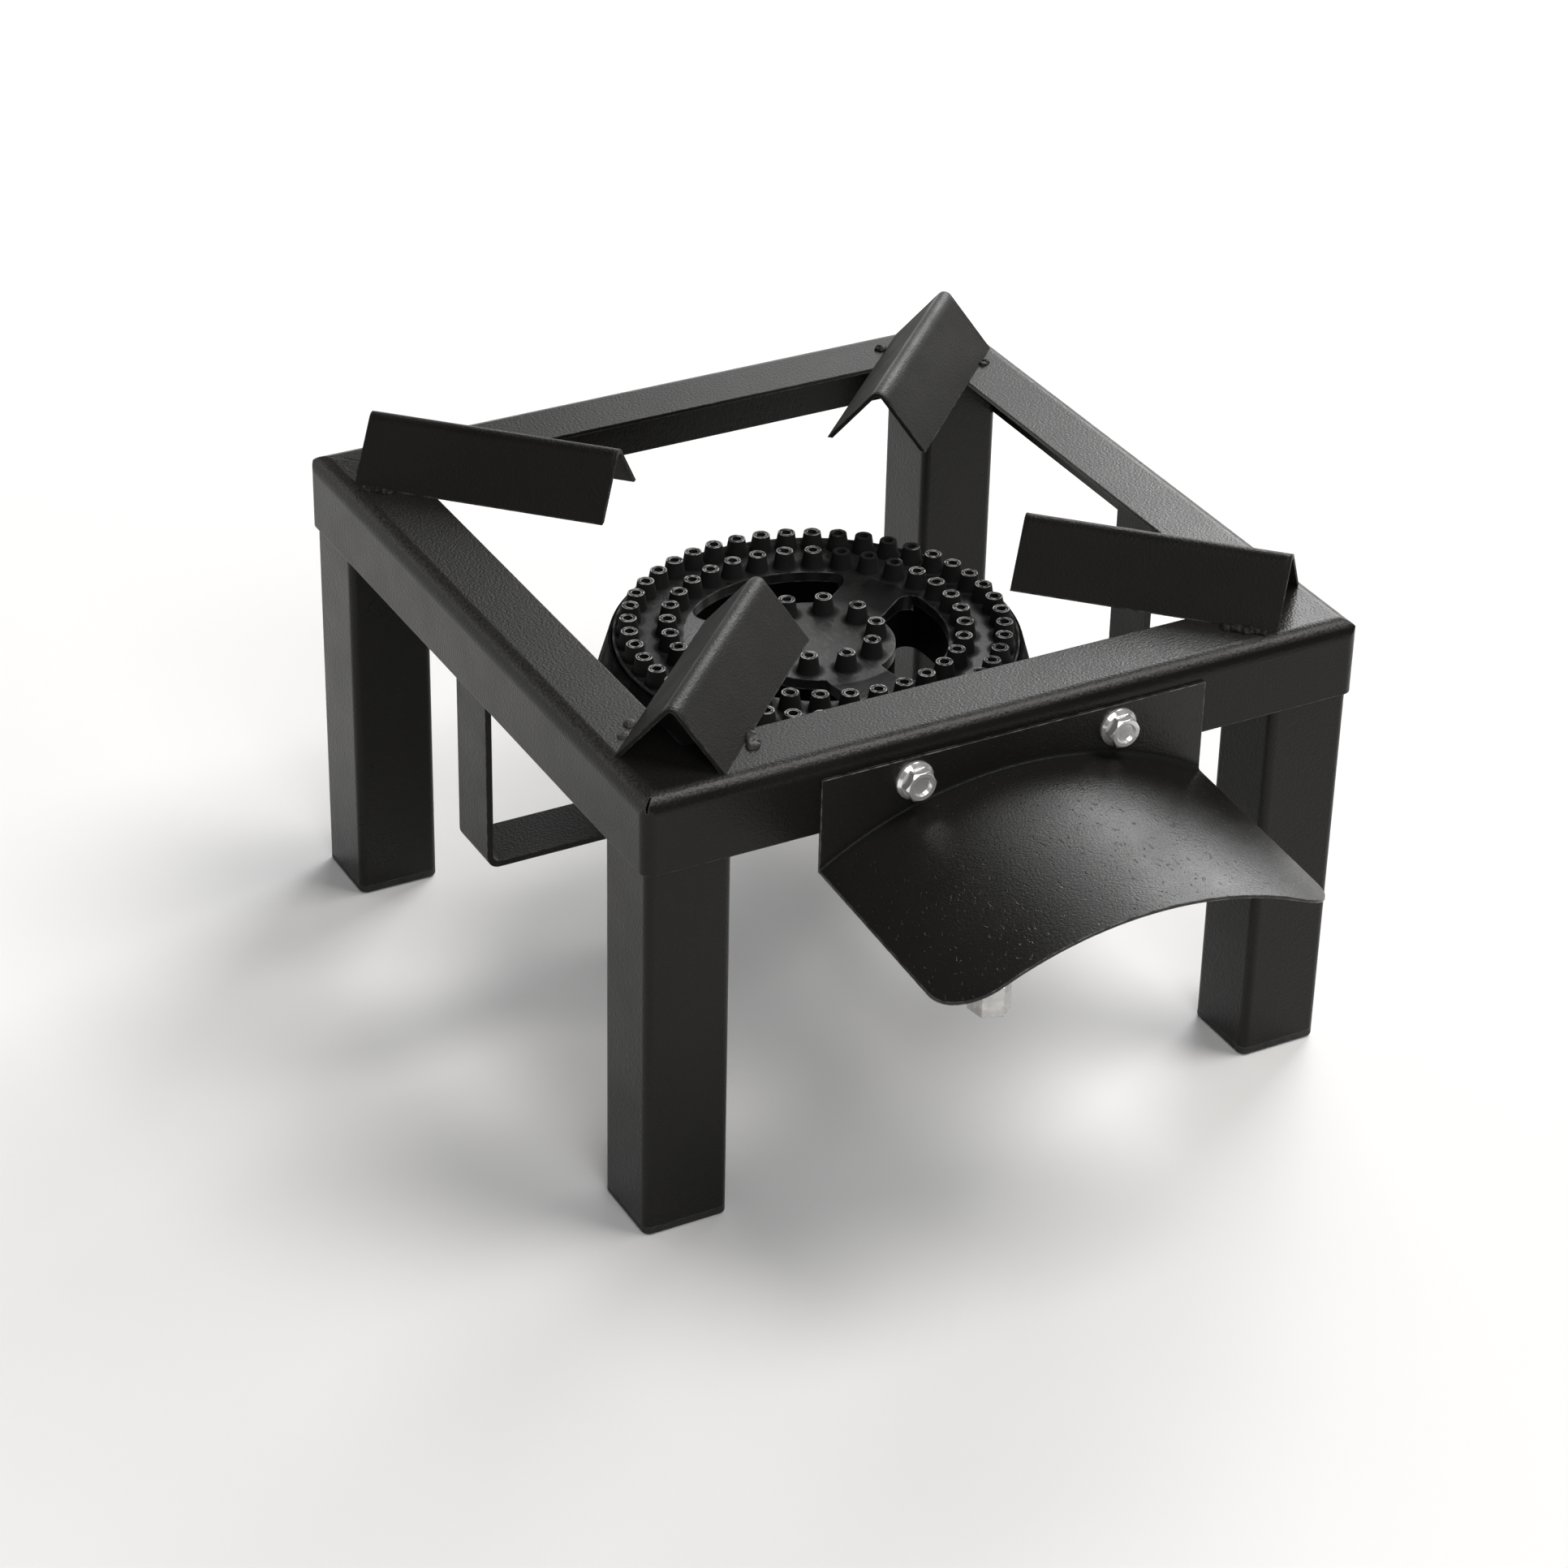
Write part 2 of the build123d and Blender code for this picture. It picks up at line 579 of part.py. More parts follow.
def make_tap_body():
    """Tap barrel with its neck, tapered seat and downward inlet boss."""
    shell = turned_on_line([
        (0, NECK_TIP),
        (NECK_R, NECK_TIP),
        (NECK_R, TUBE_END),
        (NECK_R + NECK_SHOULDER, TUBE_END),
        (BARREL_R - BARREL_CHAMFER, BARREL_START),
        (BARREL_R, BARREL_START + BARREL_CHAMFER),
        (BARREL_R, BARREL_END),
        (0, BARREL_END),
    ])
    seat = turned_on_line([
        (0, SEAT_START),
        (PLUG_R - PLUG_TAPER + RUNNING, SEAT_START),
        (PLUG_R + RUNNING, PLUG_END),
        (PLUG_R + RUNNING, BARREL_END),
        (0, BARREL_END),
    ])
    boss = Pos(0, -PORT, 0) * post(INLET_PIPE_R + INLET_BOSS_WALL, INLET_Z, TUBE_Z)
    thread = Pos(0, -PORT, 0) * post(INLET_PIPE_R + SEATED, INLET_Z, INLET_TOP)
    feed = Pos(0, -PORT, 0) * post(GAS_BORE_R, INLET_Z, TUBE_Z)
    return shell + boss - seat - thread - feed - rod(GAS_BORE_R, NECK_TIP, PORT)


def make_tap_plug():
    """Tapered plug with its side port, closed at rest, and a flatted stem for the knob."""
    start = SEAT_START + PLUG_END_GAP
    small_r = PLUG_R - PLUG_TAPER * (1 - PLUG_END_GAP / PLUG_LENGTH)
    plug = turned_on_line([(0, start), (small_r, start), (PLUG_R, PLUG_END), (0, PLUG_END)])
    flat = Pos(0, STEM_R) * Rectangle(4 * STEM_R, 2 * STEM_FLAT)
    port = Pos(-PLUG_R, -PORT, TUBE_Z) * Rot(0, 90, 0) * Cylinder(GAS_BORE_R, 2 * PLUG_R)
    plug = plug + rod(STEM_R, PLUG_END, STEM_END) - along(flat, GLAND_END, STEM_END)
    return plug - port - rod(GAS_BORE_R, start, PORT)


def make_plug_spring():
    """Dished spring washer that presses the plug into its seat."""
    inner_r = STEM_R + HOLE_PLAY
    outer_r = PLUG_R - HOLE_PLAY
    top = PLUG_END + SPRING_ROOM
    return turned_on_line([
        (inner_r, top - SPRING_SHEET),
        (inner_r, top),
        (outer_r, PLUG_END + SPRING_SHEET),
        (outer_r, PLUG_END),
    ])


def make_gland_nut():
    """Hex nut with a spigot that closes the front of the tap barrel."""
    nut = along(hexagon(GLAND_FLATS), BARREL_END, GLAND_END)
    spigot = rod(PLUG_R, BARREL_END - GLAND_SPIGOT, BARREL_END)
    return nut + spigot - rod(STEM_R + RUNNING, BARREL_END - GLAND_SPIGOT, GLAND_END)


def make_tap_knob():
    """Fluted knob with a skirt, a raised pointer and a flatted bore on the stem."""
    start = GLAND_END + KNOB_GAP
    end = start + KNOB_LENGTH
    knob = turned_on_line([
        (0, start),
        (KNOB_R + KNOB_SKIRT_EXTRA, start),
        (KNOB_R + KNOB_SKIRT_EXTRA, start + KNOB_SKIRT),
        (KNOB_R, start + KNOB_SKIRT),
        (KNOB_R - KNOB_DRAFT, end - KNOB_EDGE),
        (KNOB_R - KNOB_DRAFT - KNOB_EDGE, end),
        (0, end),
    ])
    rim = ring_of(FLUTE_COUNT, KNOB_R, 180 / FLUTE_COUNT)
    flutes = [along(place * Circle(FLUTE_R), start + KNOB_SKIRT, end) for place in rim]
    key = Pos(0, STEM_R + SEATED) * Rectangle(4 * STEM_R, 2 * STEM_FLAT)
    bore = along(Circle(STEM_R + SEATED) - key, start, STEM_END)
    pointer_out = KNOB_R - KNOB_DRAFT - KNOB_EDGE - POINTER_LENGTH / 2
    pointer = Pos(0, pointer_out) * Rectangle(POINTER_WIDTH, POINTER_LENGTH)
    return knob - flutes - bore + along(pointer, end - POINTER_RISE, end + POINTER_RISE)


def make_gas_inlet():
    """Gas inlet: a short pipe screwed into the tap, ending in a hex with a female thread."""
    body = post(INLET_PIPE_R, INLET_LOW, INLET_TOP)
    nut = Rot(0, 0, INLET_TURN) * hexagon(INLET_NUT_FLATS)
    body = body + upright(nut, INLET_LOW, INLET_LOW + INLET_NUT)
    body = body - post(GAS_BORE_R, INLET_LOW, INLET_TOP)
    return Pos(0, -PORT, 0) * (body - post(INLET_THREAD_R, INLET_LOW, INLET_LOW + INLET_THREAD_DEPTH))


def group(shape, places):
    return Compound([place * shape for place in places])


save(make_top_frame(), "top_frame")
leg = make_leg()
foot_cap = make_foot_cap()
pot_support = make_pot_support()
leg_reach = (INSIDE - LEG_SIDE / 2) * math.sqrt(2)
for corner, angle in CORNERS.items():
    save(polar(leg_reach, angle) * leg, f"{corner}_leg")
    save(polar(leg_reach, angle) * foot_cap, f"{corner}_foot_cap")
    save(Rot(0, 0, angle) * pot_support, f"{corner}_pot_support")
save(make_burner_strap(), "burner_strap")
save(make_heat_shield(), "heat_shield")
save(group(make_shield_bolt(), shield_bolt_places()), "shield_bolts")
save(group(make_shield_nut(), shield_bolt_places()), "shield_nuts")
save(group(make_foot_bolt(), foot_bolt_places()), "burner_bolts")
save(group(make_foot_nut(), foot_bolt_places()), "burner_nuts")
save(make_burner_head(), "burner_head")
save(make_burner_body(), "burner_body")
save(group(make_head_screw(), head_screw_places()), "head_screws")
save(make_mixing_tube(), "mixing_tube")
save(make_air_shutter(), "air_shutter")
save(make_tap_carrier(), "tap_carrier")
save(make_injector(), "injector")
save(make_tap_body(), "tap_body")
save(make_tap_plug(), "tap_plug")
save(make_plug_spring(), "plug_spring")
save(make_gland_nut(), "gland_nut")
save(make_tap_knob(), "tap_knob")
save(make_gas_inlet(), "gas_inlet")
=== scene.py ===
import math

import bmesh
import bpy
from mathutils import Matrix, Vector, noise


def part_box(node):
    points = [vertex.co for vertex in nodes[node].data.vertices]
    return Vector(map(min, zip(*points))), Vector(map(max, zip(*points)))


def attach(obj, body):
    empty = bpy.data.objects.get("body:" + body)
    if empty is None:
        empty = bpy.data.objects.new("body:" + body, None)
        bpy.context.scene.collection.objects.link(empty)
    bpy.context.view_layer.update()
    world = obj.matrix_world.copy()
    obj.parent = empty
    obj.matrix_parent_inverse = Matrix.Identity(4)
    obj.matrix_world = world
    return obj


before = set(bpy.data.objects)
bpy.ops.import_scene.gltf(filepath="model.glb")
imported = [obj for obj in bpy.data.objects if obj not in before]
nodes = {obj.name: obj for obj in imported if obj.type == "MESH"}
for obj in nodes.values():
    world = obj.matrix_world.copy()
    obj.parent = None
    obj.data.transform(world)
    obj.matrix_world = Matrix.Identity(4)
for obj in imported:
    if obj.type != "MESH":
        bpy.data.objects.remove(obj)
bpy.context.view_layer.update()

# Places read from the frame, in metres
FRAME_LOW, FRAME_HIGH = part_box("top_frame")
MIDDLE = Vector(((FRAME_LOW.x + FRAME_HIGH.x) / 2, (FRAME_LOW.y + FRAME_HIGH.y) / 2, 0.0))
TOP_Z = FRAME_HIGH.z
HEAD_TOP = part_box("burner_head")[1].z
RIDGE_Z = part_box("front_left_pot_support")[1].z
CORNERS = ("front_left", "front_right", "back_right", "back_left")

# Rows of jets about the burner axis: radius of the row, how many, and the turn of the first in degrees
JET_ROWS = ((0.086, 44, 5.6), (0.068, 32, 6.7), (0.028, 10, 90.8))
JET_BORE_R = 0.0022
JET_TOP_R = 0.004
JET_FOOT_R = 0.0054
# The hub's jets end this much lower than the others, and its flat top ends at this radius
HUB_FALL = 0.003
HUB_EDGE_R = 0.0415

# Camera, with its place and aim from the middle of the frame's top
CAMERA_PLACE = Vector((-0.84923, -1.51806, 0.91455))
CAMERA_AIM = Vector((-0.01493, 0.0, -0.12756))
CAMERA_ROLL = math.radians(-1.324)
CAMERA_LENS = 99.906
CAMERA_SENSOR = 36.0

# Stage. The floor lies a hair under the feet.
FLOOR_SIZE = 40.0
FLOOR_DROP = 0.0002
FLOOR_TONE = 0.9
FLOOR_ROUGH = 0.9
WORLD_LIGHT = 0.07

# Sun: the way to it, its spread in degrees, its strength and its colour
SUN_TOWARDS = Vector((0.43, -0.2, 0.88))
SUN_SPREAD = 30.0
SUN_STRENGTH = 1.6
WARM_WHITE = (1.0, 0.97, 0.93)

# Lamps: place and aim from the middle of the stand on the floor, width and height, and power in watts
LAMP_AIM = (0.0, 0.0, 0.2)
SHIELD_AIM = (0.0, -0.2, 0.2)
LAMPS = {
    "high_light": ((1.05, 1.2, 1.98), LAMP_AIM, (1.4, 0.9), 7.0),
    "back_light": ((1.5, 1.6, 1.2), LAMP_AIM, (1.7, 1.3), 12.5),
    "low_light": ((0.6, 2.3, 0.35), LAMP_AIM, (1.2, 0.7), 3.0),
    "left_light": ((-1.45, 1.85, 0.7), LAMP_AIM, (1.8, 1.2), 7.0),
    "side_light": ((1.54, 1.12, 1.2), SHIELD_AIM, (1.0, 1.1), 22.0),
    "front_light": ((-0.5, -1.9, 1.5), LAMP_AIM, (1.2, 1.2), 22.0),
    "right_light": ((2.1, 0.45, 0.65), LAMP_AIM, (1.0, 0.8), 3.0),
}

# Noise lies mostly between these values, which are spread over the range that is asked for
MID_NOISE = (0.3, 0.7)

# Powder coat. Depths and reaches are in metres, and scales are for noise over metres.
EDGE_ROUND = 0.0007
PEEL_DEPTH = 0.00035
FINE_SCALE = 2400.0
FINE_DEPTH = 0.0001
DUST_SCALE = 1100.0
WORN_REACH = 0.0005
# Bends with a painted highlight and rubbing wear lean by about this much, as the upward part of the
# normal
BEND_LEAN = 0.8
BEND_SPREAD = 0.25
# Roughness that the flanks of a pot support have more than its ridge
WING_MATT = 0.3
# Painted shade on the strap, under the burner, ends at this radius from the burner axis
BURNER_SHADE_R = 0.115
# The heat shield's crease, darkened as painted shade, and its small pits
CREASE_REACH = 0.004
PIT_SCALE = 480.0
PIT_STRETCH = (1.0, 0.7, 1.0)
PIT_DEPTH = 0.00025

# Bare metal
METAL_ROUND = 0.0004
METAL_DEPTH = 0.0001

# Burner casting
IRON_ROUND = 0.0008
IRON_SCALE = 420.0
IRON_DEPTH = 0.0006
INNER_WALL_R = 0.062
HUB_TONE = 0.036
RIM_TONE = 0.45
EDGE_TONE = 0.12
RIM_REACH = 0.0005
# Soot patch on the head: its middle from the burner axis, its radius and how ragged it is
SOOT_PATCH = (0.057, 0.052)
SOOT_PATCH_R = 0.024
SOOT_RAGGED = 0.006

# Welds that hold the feet of the pot supports. A bead runs from one point to the next, in millimetres:
# along the corner's diagonal from the burner axis, and across it. The last number is the bead's width.
WELDS = {
    "front_left": (((182.6, 25.0), (189.4, 27.6), 7.0), ((187.8, -25.8), (189.6, -26.2), 5.0),
                   ((198.2, -25.6), (199.8, -25.6), 4.6)),
    "front_right": (((192.5, -26.2), (208.6, -24.8), 6.5), ((186.0, 25.4), (197.0, 25.8), 5.0)),
    "back_right": (((195.2, 26.6), (197.8, 26.2), 5.0), ((195.6, -25.2), (198.2, -25.4), 4.8)),
    "back_left": (((197.4, 25.4), (211.4, 25.2), 4.4), ((188.0, -25.6), (198.0, -25.2), 5.0)),
}
MM_PER_M = 1000
# The front-left beads take a lighter copy of the weld coat: painted light
PAINTED_LIT_WELDS = "front_left"
# Lumps follow each other by this share of the bead's width, and a bead has at least so many
WELD_STEP = 0.42
WELD_LUMPS = 3
# Height of a lump as a share of its width, and how unevenly lumps are stretched
WELD_RISE = 0.62
WELD_UNEVEN = 0.45
WELD_SEED = 7
WELD_DRAW = 900
# How deep beads reach into the frame, the grid that fuses their lumps, and their rough skin
WELD_SINK = 0.0015
WELD_VOXEL = 0.0004
WELD_GRAIN = 380.0
WELD_RUGGED = 0.0007


class Graph:
    """Small helper round a material's node tree."""

    def __init__(self, name):
        self.material = bpy.data.materials.new(name)
        self.material.use_nodes = True
        self.tree = self.material.node_tree
        self.shader = self.tree.nodes["Principled BSDF"]
        self.place = self.add("ShaderNodeTexCoord").outputs["Object"]

    def add(self, kind, inputs=None, **settings):
        node = self.tree.nodes.new(kind)
        for key, value in settings.items():
            setattr(node, key, value)
        for key, value in (inputs or {}).items():
            self.put(node.inputs[key], value)
        return node

    def put(self, socket, value):
        if isinstance(value, bpy.types.NodeSocket):
            self.tree.links.new(value, socket)
        else:
            socket.default_value = value

    def set(self, **values):
        """Set inputs of the surface shader, named with _ for a space."""
        for key, value in values.items():
            self.put(self.shader.inputs[key.replace("_", " ")], value)

    def noise(self, scale, detail=2.0, rough=0.5, place=None):
        inputs = {"Vector": place or self.place, "Scale": scale, "Detail": detail, "Roughness": rough}
        return self.add("ShaderNodeTexNoise", inputs).outputs["Fac"]

    def cloudy(self, scale, detail, to_low=0.0, to_high=1.0):
        """Noise spread evenly over a range."""
        return self.remap(self.noise(scale, detail), *MID_NOISE, to_low, to_high)

    def stretched(self, scale):
        return self.add("ShaderNodeMapping", {"Vector": self.place, "Scale": scale}).outputs["Vector"]

    def split(self, vector):
        return self.add("ShaderNodeSeparateXYZ", {"Vector": vector}).outputs

    def remap(self, value, low, high, to_low=0.0, to_high=1.0):
        inputs = {"Value": value, "From Min": low, "From Max": high, "To Min": to_low, "To Max": to_high}
        return self.add("ShaderNodeMapRange", inputs, interpolation_type="SMOOTHSTEP").outputs["Result"]

    def math(self, operation, a, b=0.0):
        return self.add("ShaderNodeMath", {0: a, 1: b}, operation=operation).outputs["Value"]

    def product(self, first, *others):
        for other in others:
            first = self.math("MULTIPLY", first, other)
        return first

    def hypot(self, a, b):
        return self.math("SQRT", self.math("ADD", self.product(a, a), self.product(b, b)))

    def near(self, value, target, reach):
        """Share that is 1 where a value is at its target, and falls to 0 at a reach from it."""
        return self.remap(self.math("ABSOLUTE", self.math("SUBTRACT", value, target)), reach, reach * 0.4)

    def plan(self):
        """Place in plan, from the burner axis."""
        x, y, _ = self.split(self.place)
        return x, self.math("SUBTRACT", y, MIDDLE.y)

    def lean(self):
        """Upward part of the surface's normal."""
        return self.split(self.add("ShaderNodeNewGeometry").outputs["Normal"])["Z"]

    def rounded(self, radius):
        return self.add("ShaderNodeBevel", {"Radius": radius}, samples=6).outputs["Normal"]

    def occlusion(self, reach, inside):
        inputs = {"Distance": reach}
        node = self.add("ShaderNodeAmbientOcclusion", inputs, samples=4, inside=inside, only_local=True)
        return node.outputs["AO"]

    def edge(self, reach):
        """Share that grows towards an outward edge, within a reach of it."""
        return self.remap(self.occlusion(reach, True), 0.92, 0.6)

    def crease(self, reach):
        """Share that grows into an inward corner, within a reach of it."""
        return self.remap(self.occlusion(reach, False), 0.97, 0.8)

    def mix(self, share, a, b):
        node = self.add("ShaderNodeMix", {"Factor": share}, data_type="RGBA")
        colour_a, colour_b = node.inputs[6], node.inputs[7]
        self.put(colour_a, a)
        self.put(colour_b, b)
        return node.outputs[2]

    def bump(self, height, strength, distance, normal=None):
        inputs = {"Height": height, "Strength": strength, "Distance": distance}
        if normal:
            inputs["Normal"] = normal
        return self.add("ShaderNodeBump", inputs).outputs["Normal"]


def grey(level, warmth=0.0):
    return (level * (1 + warmth), level, level * (1 - warmth), 1.0)


def coat_tone(g, level):
    """Cloudy black with a few dust specks."""
    tone = g.mix(g.cloudy(14.0, 4.0), grey(level * 0.9, 0.08), grey(level * 1.1, 0.08))
    specks = g.remap(g.noise(DUST_SCALE, 1.0), 0.74, 0.8, 0.0, 0.5)
    return g.mix(specks, tone, grey(level * 5.0))


def wear_and_highlight_bends(g, tone, bend_wear_and_highlight):
    """Lay a lighter, patchy tone over bends: a painted highlight, partly rubbing wear."""
    bend = g.near(g.lean(), BEND_LEAN, BEND_SPREAD)
    patches = g.remap(g.noise(900.0, 3.0), 0.35, 0.65, 0.25, 1.0)
    return g.mix(g.product(bend, patches), tone, grey(bend_wear_and_highlight, 0.05))


def wear_edges(g, tone, wear):
    """Lay a light, broken line over outward edges."""
    patches = g.remap(g.noise(190.0, 4.0, 0.65), 0.4, 0.62, 0.1, 0.9)
    return g.mix(g.product(g.edge(WORN_REACH), patches), tone, grey(wear))


def paint_shade_black(g, share, tone, gloss, level):
    """Lay matt black, as painted shade, over a tone and a roughness."""
    return g.mix(share, tone, grey(level * 0.3)), g.math("MAXIMUM", gloss, share)


def powder_coat(name, level, peel, rough, grain=800.0, detail=1.0, shine=0.2, wear=0.09,
                bend_wear_and_highlight=0.0, fold=0.0, shade_under_burner=False, creased=False):
    """Satin black coat with orange peel, dust specks, a painted highlight with rubbing wear on bends, and
    edges worn light.

    A fold is the radius to which a pot support's ridge is shaded. Painted shade lies on the strap near
    the burner, and a creased coat has painted shade in its inward corner and is pitted.
    """
    g = Graph(name)
    tone = coat_tone(g, level)
    # Painted highlight, partly rubbing wear: a lighter tone on bends of one lean
    if bend_wear_and_highlight:
        tone = wear_and_highlight_bends(g, tone, bend_wear_and_highlight)
    tone = wear_edges(g, tone, wear)
    gloss = g.cloudy(45.0, 5.0, rough * 0.9, rough * 1.1)
    softness = EDGE_ROUND
    if fold:
        height = g.split(g.place)["Z"]
        softness = g.remap(height, RIDGE_Z - 2 * fold, RIDGE_Z - fold, EDGE_ROUND, fold)
        flank = g.remap(height, RIDGE_Z - fold / 4, RIDGE_Z - fold, 0.0, WING_MATT)
        gloss = g.math("ADD", gloss, flank)
    # Painted shade: matt black on the strap under the burner
    if shade_under_burner:
        near_burner = g.remap(g.hypot(*g.plan()), BURNER_SHADE_R, BURNER_SHADE_R * 0.7)
        tone, gloss = paint_shade_black(g, near_burner, tone, gloss, level)
    # Painted shade: matt black in the coat's inward corner
    if creased:
        tone, gloss = paint_shade_black(g, g.crease(CREASE_REACH), tone, gloss, level)
    g.set(Base_Color=tone, Roughness=gloss, Specular_IOR_Level=shine)
    skin = g.bump(g.noise(grain, detail, 0.6), peel, PEEL_DEPTH, g.rounded(softness))
    if creased:
        pits = g.remap(g.noise(PIT_SCALE, 2.0, 0.5, g.stretched(PIT_STRETCH)), 0.645, 0.71, 1.0, 0.0)
        skin = g.bump(pits, 0.65, PIT_DEPTH, skin)
    g.set(Normal=g.bump(g.noise(FINE_SCALE, 1.0), 0.25, FINE_DEPTH, skin))
    return g.material


def plain_metal(name, colour, rough, brushed, metallic=1.0, smudge=0.75):
    """Bare or plated metal with fine brushing and smudges."""
    g = Graph(name)
    dark = tuple(part * smudge for part in colour[:3]) + (1.0,)
    g.set(Base_Color=g.mix(g.remap(g.noise(120.0, 4.0), 0.35, 0.7), dark, colour), Metallic=metallic)
    g.set(Roughness=g.cloudy(300.0, 3.0, rough * 0.75, rough * 1.3))
    grain = g.noise(900.0, 3.0, 0.6, g.stretched(brushed))
    g.set(Normal=g.bump(grain, 0.1, METAL_DEPTH, g.rounded(METAL_ROUND)))
    return g.material


def plastic(name, level, rough):
    """Moulded black plastic with a fine grain."""
    g = Graph(name)
    g.set(Base_Color=g.mix(g.noise(80.0, 3.0), grey(level * 0.8), grey(level * 1.3)))
    g.set(Roughness=g.cloudy(200.0, 3.0, rough * 0.85, rough * 1.15))
    g.set(Normal=g.bump(g.noise(1800.0, 2.0), 0.2, FINE_DEPTH))
    return g.material


def jet_distance(g, x, y):
    """Distance in plan from the axis of the nearest jet."""
    radius = g.hypot(x, y)
    angle = g.math("ARCTAN2", y, x)
    nearest = None
    for row_r, count, turn in JET_ROWS:
        half = math.pi / count
        inputs = {0: g.math("SUBTRACT", angle, math.radians(turn)), 1: half, 2: -half}
        off = g.add("ShaderNodeMath", inputs, operation="WRAP").outputs["Value"]
        out = g.math("SUBTRACT", g.product(radius, g.math("COSINE", off)), row_r)
        distance = g.hypot(out, g.product(radius, g.math("SINE", off)))
        nearest = g.math("MINIMUM", nearest, distance) if nearest else distance
    return nearest


def iron_tone(g, level):
    return g.mix(g.cloudy(90.0, 5.0), grey(level * 0.7), grey(level * 1.5))


def iron_skin(g):
    """Rough cast surface with rounded edges."""
    return g.bump(g.noise(IRON_SCALE, 5.0, 0.65), 0.4, IRON_DEPTH, g.rounded(IRON_ROUND))


def burner_iron(name, level, shine):
    """Black painted casting, rough to the touch, darker and matt within the inner wall's radius."""
    g = Graph(name)
    inside = g.remap(g.hypot(*g.plan()), INNER_WALL_R * 1.05, INNER_WALL_R)
    tone = g.mix(inside, iron_tone(g, level), grey(level * 0.15))
    rough = g.math("MAXIMUM", g.cloudy(150.0, 4.0, 0.6, 0.8), inside)
    g.set(Base_Color=tone, Roughness=rough, Specular_IOR_Level=shine, Normal=iron_skin(g))
    return g.material


def outside_soot_patch(g, x, y):
    """Share that is 0 in the ragged soot patch and 1 outside it."""
    patch_x, patch_y = SOOT_PATCH
    away = g.hypot(g.math("SUBTRACT", x, patch_x), g.math("SUBTRACT", y, patch_y))
    ragged = g.math("ADD", away, g.cloudy(110.0, 4.0, -SOOT_RAGGED, SOOT_RAGGED))
    return g.remap(ragged, SOOT_PATCH_R * 0.7, SOOT_PATCH_R)


def jet_rims(g, jet, up):
    """Share that is 1 on the inner and outer lines of the jets' flat ends."""
    inner_line = g.near(jet, JET_BORE_R + 0.0002, 0.0004)
    outer_line = g.near(jet, JET_TOP_R - 0.0004, 0.0005)
    height = g.split(g.place)["Z"]
    high = g.near(height, HEAD_TOP, RIM_REACH)
    hub_high = g.near(height, HEAD_TOP - HUB_FALL, RIM_REACH)
    return g.product(g.math("MAXIMUM", inner_line, outer_line), up, g.math("MAXIMUM", high, hub_high))


def burner_top(name, level, shine):
    """The same casting where it is used: matt and without the lighter tones round the jets' feet, worn
    light on rims and edges.
    """
    g = Graph(name)
    x, y = g.plan()
    jet = jet_distance(g, x, y)
    up = g.remap(g.lean(), 0.7, 0.95)
    bare = outside_soot_patch(g, x, y)
    bare_clear_of_jets = g.product(bare, g.remap(jet, JET_FOOT_R, JET_FOOT_R * 1.7))
    hub = g.product(up, g.remap(g.hypot(x, y), HUB_EDGE_R, HUB_EDGE_R * 0.8), bare_clear_of_jets)
    flecks = g.remap(g.noise(520.0, 5.0, 0.7, g.stretched((1.0, 0.35, 1.0))), 0.5, 0.72)
    tone = g.mix(hub, iron_tone(g, level), grey(HUB_TONE))
    tone = g.mix(g.product(hub, flecks), tone, grey(HUB_TONE * 2.5))
    broken = g.remap(g.noise(420.0, 3.0), 0.38, 0.62, 0.1, 1.0)
    tone = g.mix(g.product(g.edge(0.0006), bare_clear_of_jets, broken), tone, grey(EDGE_TONE))
    tone = g.mix(g.product(jet_rims(g, jet, up), bare, broken), tone, grey(RIM_TONE))
    rough = g.remap(bare_clear_of_jets, 0.0, 1.0, 0.85, 0.36)
    g.set(Base_Color=tone, Roughness=rough, Specular_IOR_Level=shine, Normal=iron_skin(g))
    return g.material


def paint(material, *names):
    for name in names:
        nodes[name].data.materials.clear()
        nodes[name].data.materials.append(material)


coat = powder_coat("powder_coat", 0.007, 0.5, 0.3, bend_wear_and_highlight=0.04)
support_coat = powder_coat("support_coat", 0.008, 0.8, 0.38, grain=1000.0, fold=0.004)
strap_coat = powder_coat("strap_coat", 0.008, 0.5, 0.38, shade_under_burner=True)
shield_coat = powder_coat("shield_coat", 0.01, 0.5, 0.33, 900.0, 2.0, shine=0.3, wear=0.25, creased=True)
weld_coat = powder_coat("weld_coat", 0.006, 1.0, 0.5, grain=900.0)
# Lighter copy of the weld coat, painted light
weld_painted_lit = powder_coat("weld_painted_lit", 0.04, 1.0, 0.5, grain=900.0)
iron = burner_iron("burner_iron", 0.003, 0.04)
iron_top = burner_top("burner_top", 0.005, 0.3)
zinc = plain_metal("zinc", grey(0.98, 0.005), 0.15, (1.0, 1.0, 1.0), metallic=0.74, smudge=0.95)
brass = plain_metal("brass", (0.72, 0.55, 0.26, 1.0), 0.32, (1.0, 8.0, 1.0))
sheet_steel = plain_metal("sheet_steel", grey(0.55), 0.38, (1.0, 8.0, 1.0))
nickel = plain_metal("nickel", grey(0.75, 0.02), 0.26, (1.0, 1.0, 6.0))
cap_plastic = plastic("cap_plastic", 0.005, 0.6)
knob_plastic = plastic("knob_plastic", 0.02, 0.35)

